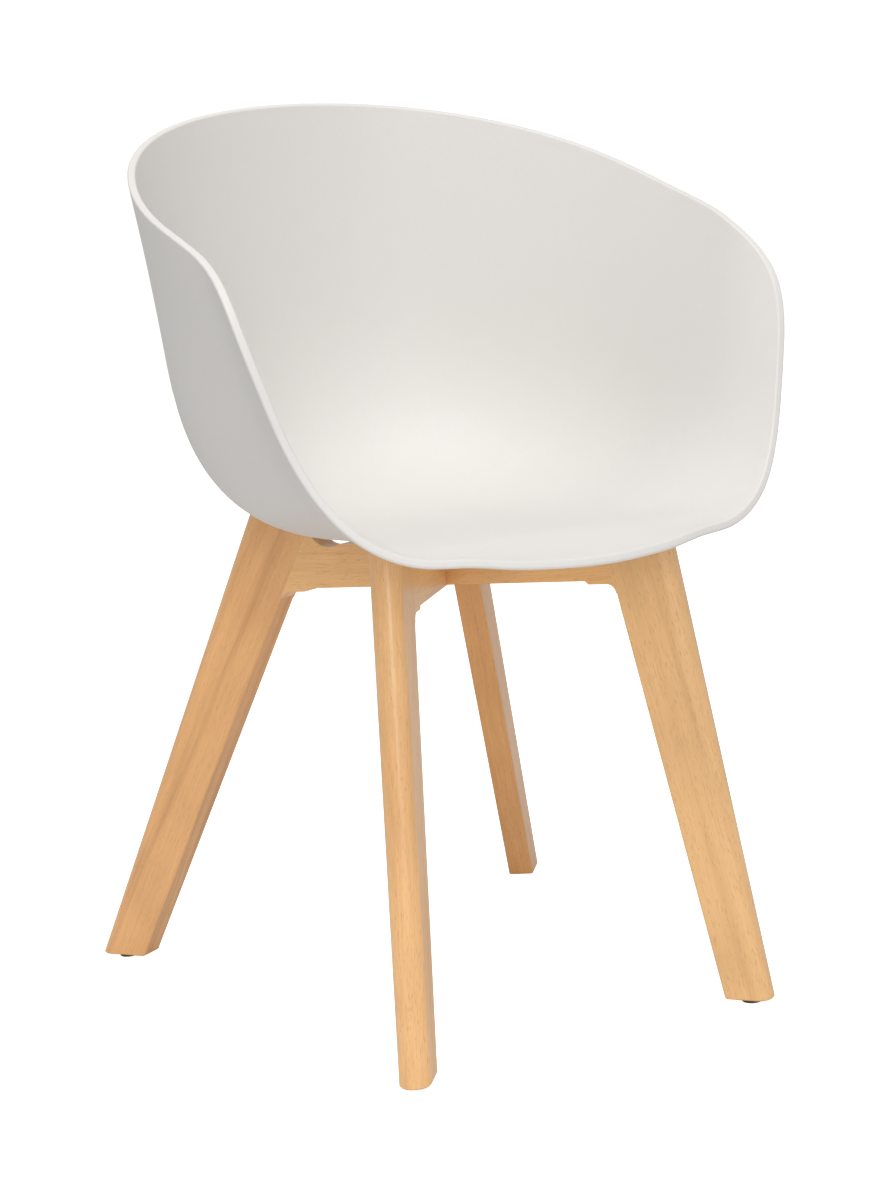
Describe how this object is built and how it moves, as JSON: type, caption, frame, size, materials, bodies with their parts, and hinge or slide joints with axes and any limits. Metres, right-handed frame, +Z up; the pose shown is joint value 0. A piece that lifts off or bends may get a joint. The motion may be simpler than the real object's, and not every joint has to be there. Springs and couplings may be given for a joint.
{
  "type": "dining chair",
  "caption": "Tub dining chair with low arms: a moulded plastic shell bolted to a crossed beech base with splayed legs that lean out further at the rear.",
  "frame": {"origin": "on the floor, under the middle of the chair's overall width and depth", "axes": "+Z up, -Y towards the front of the seat, +X towards the side of the nodes named right, which is the right-hand side for someone who faces the chair from the front"},
  "size_m": [0.516, 0.6425, 0.8315],
  "materials": {
    "shell_plastic": "fine matt moulded texture, warm light grey",
    "beech": "clear satin lacquer on beech",
    "dowel_wood": "plain beech dowel, unfinished",
    "zinc_steel": "bright zinc plating",
    "insert_brass": "turned brass",
    "pad_rubber": "black rubber",
    "glide_nylon": "dark brown nylon",
    "nail_steel": "bright steel"
  },
  "bodies": {
    "root": {"seat_shell": "shell_plastic", "shell_inserts": "insert_brass", "leg_front_left": "beech", "leg_front_right": "beech", "leg_rear_left": "beech", "leg_rear_right": "beech", "rail_front_left_to_rear_right": "beech", "rail_front_right_to_rear_left": "beech", "leg_dowels_front_left": "dowel_wood", "leg_dowels_front_right": "dowel_wood", "leg_dowels_rear_left": "dowel_wood", "leg_dowels_rear_right": "dowel_wood", "mounting_plate": "zinc_steel", "plate_screws": "zinc_steel", "shell_bolts": "zinc_steel", "spring_washers": "zinc_steel", "flat_washers": "zinc_steel", "spacer_pads": "pad_rubber", "foot_glide_front_left": "glide_nylon", "foot_glide_front_right": "glide_nylon", "foot_glide_rear_left": "glide_nylon", "foot_glide_rear_right": "glide_nylon", "glide_nails": "nail_steel"}
  },
  "joints": []
}
